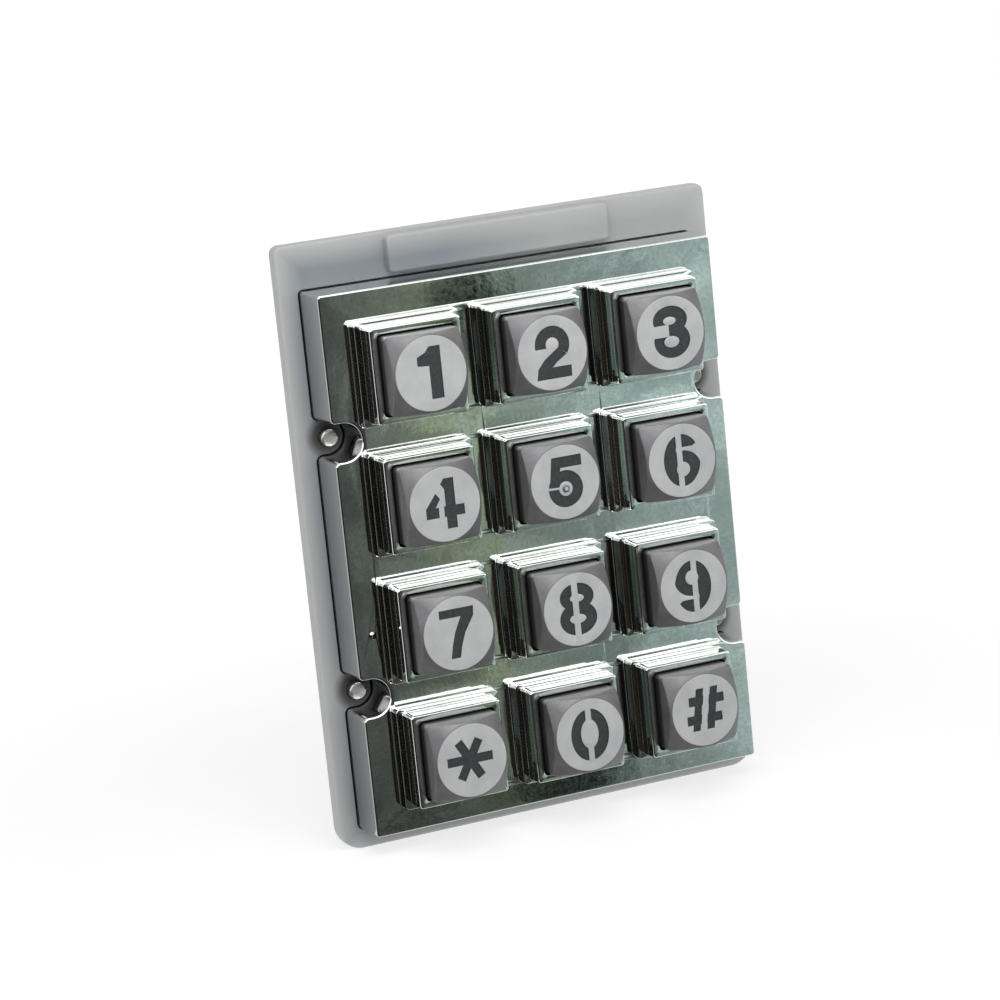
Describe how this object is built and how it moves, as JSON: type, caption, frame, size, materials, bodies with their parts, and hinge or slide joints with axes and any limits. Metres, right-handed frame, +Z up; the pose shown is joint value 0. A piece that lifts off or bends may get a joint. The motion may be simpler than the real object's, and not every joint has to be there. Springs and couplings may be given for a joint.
{
  "type": "keypad access reader",
  "caption": "Panel-mounted die-cast keypad with sprung square keys in stepped collars, a milky mounting plate, rear studs and a pin connector.",
  "frame": {"origin": "centre of the four mounting studs, on the rear face of the base plate", "axes": "+Z up, +X to the right as the user sees it, keys face -Y and the studs point along +Y"},
  "size_m": [0.073, 0.0358, 0.0955],
  "materials": {
    "chrome_plate": "bright chrome plate over zinc die casting",
    "satin_metal": "satin nickel-chrome plate over zinc die casting, fine grain",
    "legend_plastic": "smoked translucent polycarbonate, matt",
    "milky_plastic": "milky translucent polycarbonate",
    "seal_rubber": "matt closed-cell rubber",
    "stud_steel": "turned steel",
    "silicone": "translucent silicone",
    "carbon_pill": "carbon-filled silicone",
    "board_laminate": "green solder mask over glass laminate",
    "gold_plate": "gold flash",
    "led_resin": "clear-topped white resin",
    "resistor_ceramic": "glazed ceramic chip",
    "diode_glass": "orange glass",
    "black_moulding": "moulded epoxy",
    "tinned_lead": "tinned copper",
    "capacitor_sleeve": "shrunk sleeve over aluminium can",
    "screw_steel": "zinc-plated steel",
    "cover_plastic": "spark-eroded black ABS"
  },
  "bodies": {
    "housing": {"bezel_frame": "chrome_plate", "base_plate": "milky_plastic", "frame_seal": "seal_rubber", "mounting_studs": "stud_steel", "dome_mat": "silicone", "contact_pills": "carbon_pill", "circuit_board": "board_laminate", "contact_pads": "gold_plate", "backlight_leds": "led_resin", "led_resistors": "resistor_ceramic", "matrix_diodes": "diode_glass", "controller_chip": "black_moulding", "controller_leads": "tinned_lead", "smoothing_capacitor": "capacitor_sleeve", "connector_housing": "black_moulding", "connector_pins": "gold_plate", "pcb_screws": "screw_steel", "rear_cover": "cover_plastic", "cover_screws": "screw_steel"},
    "key_1": {"key_1_cap": "satin_metal", "key_1_legend": "legend_plastic"},
    "key_2": {"key_2_cap": "satin_metal", "key_2_legend": "legend_plastic"},
    "key_3": {"key_3_cap": "satin_metal", "key_3_legend": "legend_plastic"},
    "key_4": {"key_4_cap": "satin_metal", "key_4_legend": "legend_plastic"},
    "key_5": {"key_5_cap": "satin_metal", "key_5_legend": "legend_plastic"},
    "key_6": {"key_6_cap": "satin_metal", "key_6_legend": "legend_plastic"},
    "key_7": {"key_7_cap": "satin_metal", "key_7_legend": "legend_plastic"},
    "key_8": {"key_8_cap": "satin_metal", "key_8_legend": "legend_plastic"},
    "key_9": {"key_9_cap": "satin_metal", "key_9_legend": "legend_plastic"},
    "key_star": {"key_star_cap": "satin_metal", "key_star_legend": "legend_plastic"},
    "key_0": {"key_0_cap": "satin_metal", "key_0_legend": "legend_plastic"},
    "key_hash": {"key_hash_cap": "satin_metal", "key_hash_legend": "legend_plastic"}
  },
  "joints": [
    {"name": "key_1_press", "type": "slide", "parent": "housing", "child": "key_1", "axis": [0, 1, 0], "range_m": [0, 0.0015], "stiffness_N_per_m": 1500, "deforming": ["dome_mat", "contact_pills"]},
    {"name": "key_2_press", "type": "slide", "parent": "housing", "child": "key_2", "axis": [0, 1, 0], "range_m": [0, 0.0015], "stiffness_N_per_m": 1500, "deforming": ["dome_mat", "contact_pills"]},
    {"name": "key_3_press", "type": "slide", "parent": "housing", "child": "key_3", "axis": [0, 1, 0], "range_m": [0, 0.0015], "stiffness_N_per_m": 1500, "deforming": ["dome_mat", "contact_pills"]},
    {"name": "key_4_press", "type": "slide", "parent": "housing", "child": "key_4", "axis": [0, 1, 0], "range_m": [0, 0.0015], "stiffness_N_per_m": 1500, "deforming": ["dome_mat", "contact_pills"]},
    {"name": "key_5_press", "type": "slide", "parent": "housing", "child": "key_5", "axis": [0, 1, 0], "range_m": [0, 0.0015], "stiffness_N_per_m": 1500, "deforming": ["dome_mat", "contact_pills"]},
    {"name": "key_6_press", "type": "slide", "parent": "housing", "child": "key_6", "axis": [0, 1, 0], "range_m": [0, 0.0015], "stiffness_N_per_m": 1500, "deforming": ["dome_mat", "contact_pills"]},
    {"name": "key_7_press", "type": "slide", "parent": "housing", "child": "key_7", "axis": [0, 1, 0], "range_m": [0, 0.0015], "stiffness_N_per_m": 1500, "deforming": ["dome_mat", "contact_pills"]},
    {"name": "key_8_press", "type": "slide", "parent": "housing", "child": "key_8", "axis": [0, 1, 0], "range_m": [0, 0.0015], "stiffness_N_per_m": 1500, "deforming": ["dome_mat", "contact_pills"]},
    {"name": "key_9_press", "type": "slide", "parent": "housing", "child": "key_9", "axis": [0, 1, 0], "range_m": [0, 0.0015], "stiffness_N_per_m": 1500, "deforming": ["dome_mat", "contact_pills"]},
    {"name": "key_star_press", "type": "slide", "parent": "housing", "child": "key_star", "axis": [0, 1, 0], "range_m": [0, 0.0015], "stiffness_N_per_m": 1500, "deforming": ["dome_mat", "contact_pills"]},
    {"name": "key_0_press", "type": "slide", "parent": "housing", "child": "key_0", "axis": [0, 1, 0], "range_m": [0, 0.0015], "stiffness_N_per_m": 1500, "deforming": ["dome_mat", "contact_pills"]},
    {"name": "key_hash_press", "type": "slide", "parent": "housing", "child": "key_hash", "axis": [0, 1, 0], "range_m": [0, 0.0015], "stiffness_N_per_m": 1500, "deforming": ["dome_mat", "contact_pills"]}
  ]
}
